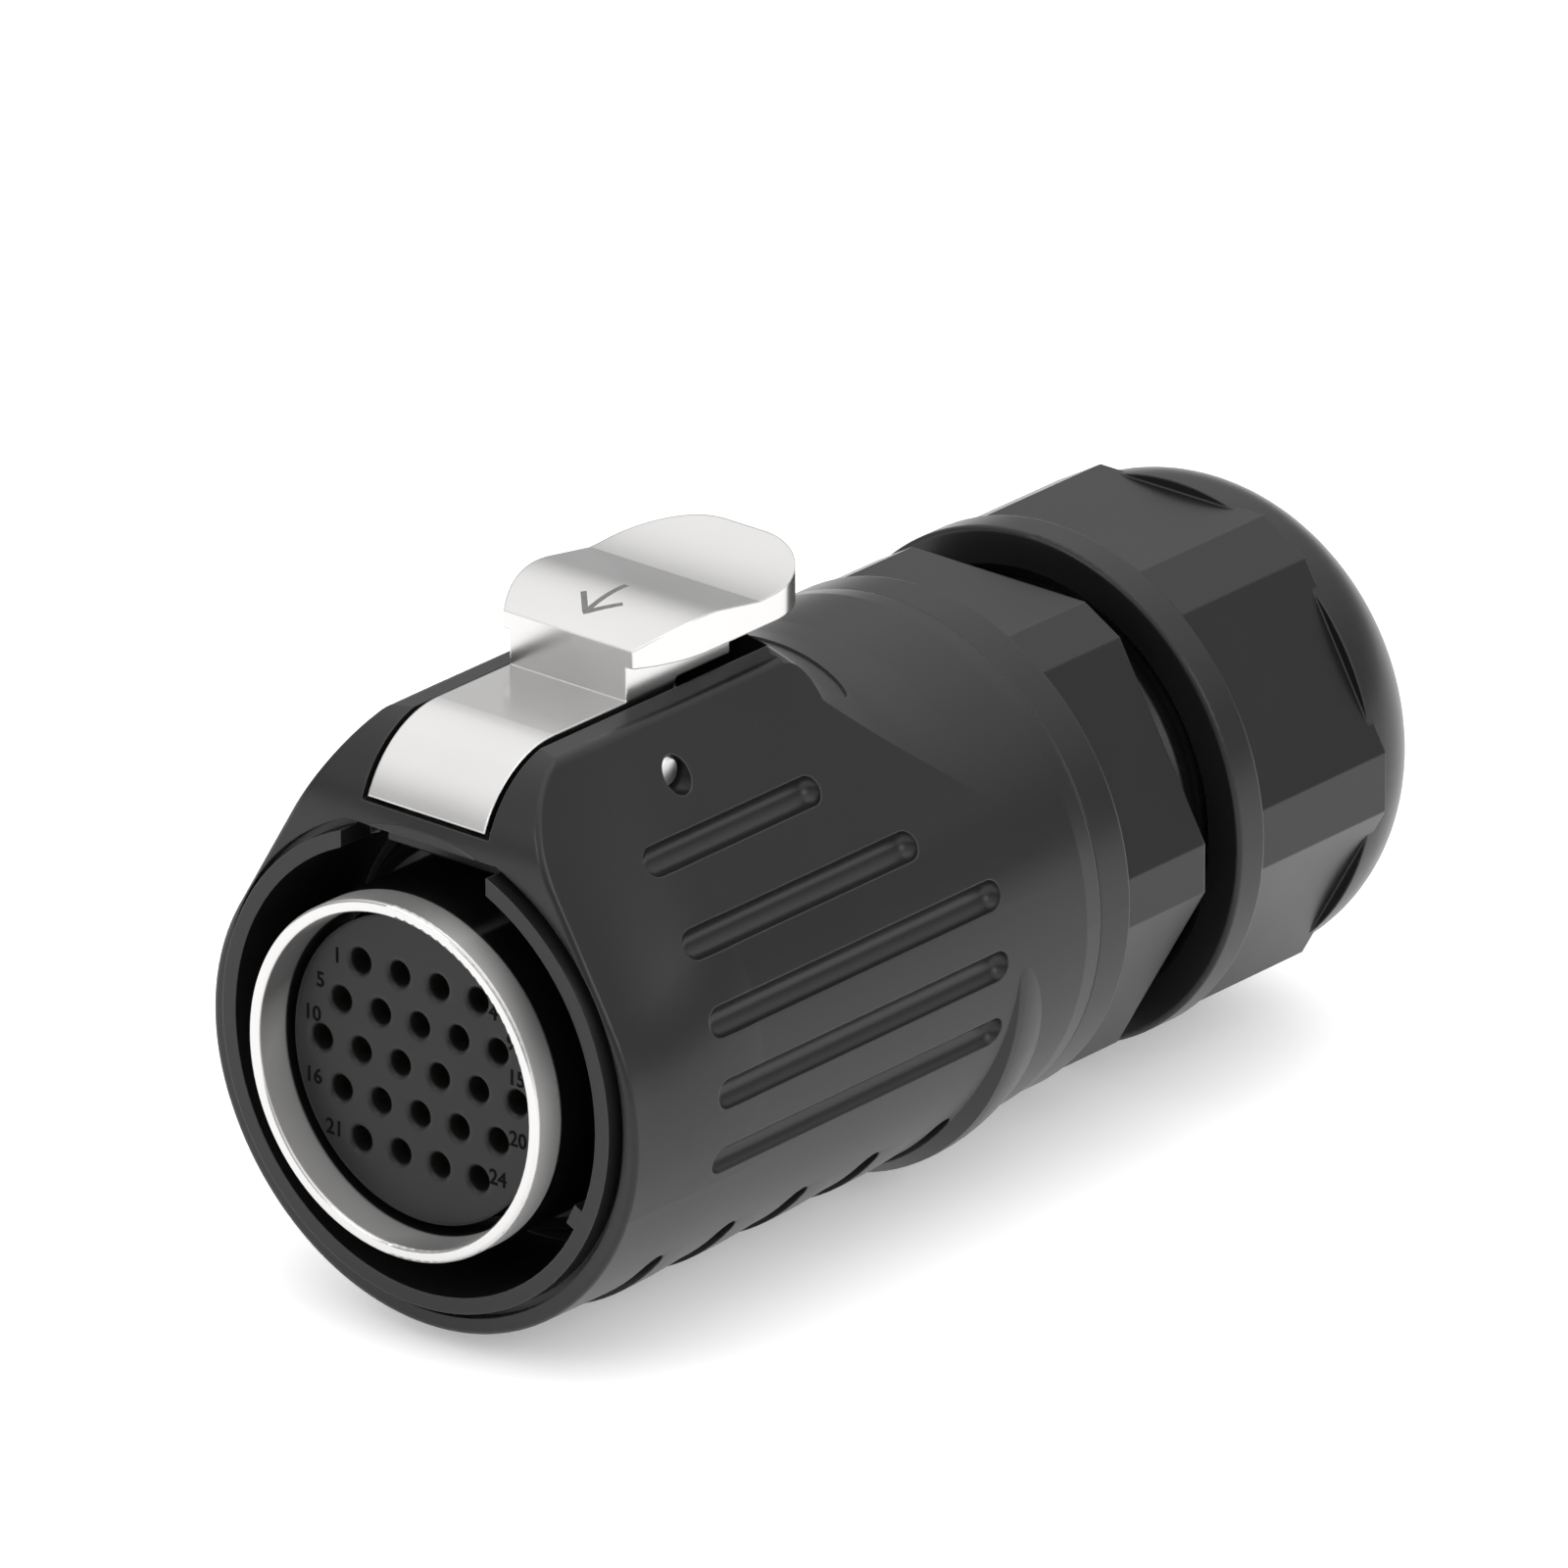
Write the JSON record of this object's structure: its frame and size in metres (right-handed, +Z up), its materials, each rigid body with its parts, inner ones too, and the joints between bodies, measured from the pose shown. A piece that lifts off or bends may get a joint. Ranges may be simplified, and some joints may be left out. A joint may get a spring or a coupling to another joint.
{
  "type": "circular power connector",
  "caption": "Round cable plug for power: socket contacts inside a metal-rimmed sleeve, a grip shell with finger slots, a push latch on top and a hexagonal cable gland behind.",
  "frame": {"origin": "centre of the metal ring's front rim, on the plug's axis", "axes": "-Y out of the mating front along the plug's axis, +Z up through the latch, +X to the right seen from the front"},
  "size_m": [0.0328, 0.0791, 0.0426],
  "materials": {
    "shell": "moulded nylon, satin with a fine grain",
    "rear_plastic": "moulded nylon, satin",
    "nut_plastic": "moulded nylon, satin",
    "latch": "satin nickel plating on die-cast zinc",
    "ring_metal": "satin nickel plating on turned brass",
    "sleeve": "moulded, matt",
    "pin": "bright steel",
    "spring": "spring wire",
    "insert": "moulded, matt",
    "plate": "moulded, matt",
    "ring": "turned",
    "contact": "gold plated",
    "face_seal": "matt",
    "o_ring": "matt",
    "cable_rubber": "matt",
    "claws": "natural nylon",
    "washer": "natural nylon"
  },
  "bodies": {
    "plug": {"outer_shell": "shell", "latch_pivot_pin": "pin", "latch_spring": "spring", "metal_ring": "ring_metal", "contact_sleeve": "sleeve", "contact_insert": "insert", "insert_back_plate": "plate", "insert_ring": "ring", "mating_seal": "face_seal", "rear_body": "rear_plastic", "body_seal": "o_ring", "clamp_claws": "claws", "cable_seal": "cable_rubber", "contact_01": "contact", "contact_02": "contact", "contact_03": "contact", "contact_04": "contact", "contact_05": "contact", "contact_06": "contact", "contact_07": "contact", "contact_08": "contact", "contact_09": "contact", "contact_10": "contact", "contact_11": "contact", "contact_12": "contact", "contact_13": "contact", "contact_14": "contact", "contact_15": "contact", "contact_16": "contact", "contact_17": "contact", "contact_18": "contact", "contact_19": "contact", "contact_20": "contact", "contact_21": "contact", "contact_22": "contact", "contact_23": "contact", "contact_24": "contact"},
    "latch": {"latch_lever": "latch"},
    "gland_follower": {"thrust_washer": "washer"},
    "nut": {"gland_nut": "nut_plastic"}
  },
  "joints": [
    {"name": "latch_tilt", "type": "hinge", "parent": "plug", "child": "latch", "pos_m": [0, 0.01545, 0.01665], "axis": [-1, 0, 0], "range_deg": [0, 7], "stiffness_Nm_per_rad": 0.2, "springref_deg": -5.73, "deforming": ["latch_spring"]},
    {"name": "gland_travel", "type": "slide", "parent": "plug", "child": "gland_follower", "axis": [0, 1, 0], "range_m": [-0.0024, 0.003]},
    {"name": "nut_turn", "type": "hinge", "parent": "gland_follower", "child": "nut", "pos_m": [0, 0.065, 0], "axis": [0, 1, 0], "range_deg": [-576, 720]}
  ],
  "couplings": [
    {"joint": "gland_travel", "follows": "nut_turn", "m_per_rad": 0.00023873}
  ]
}
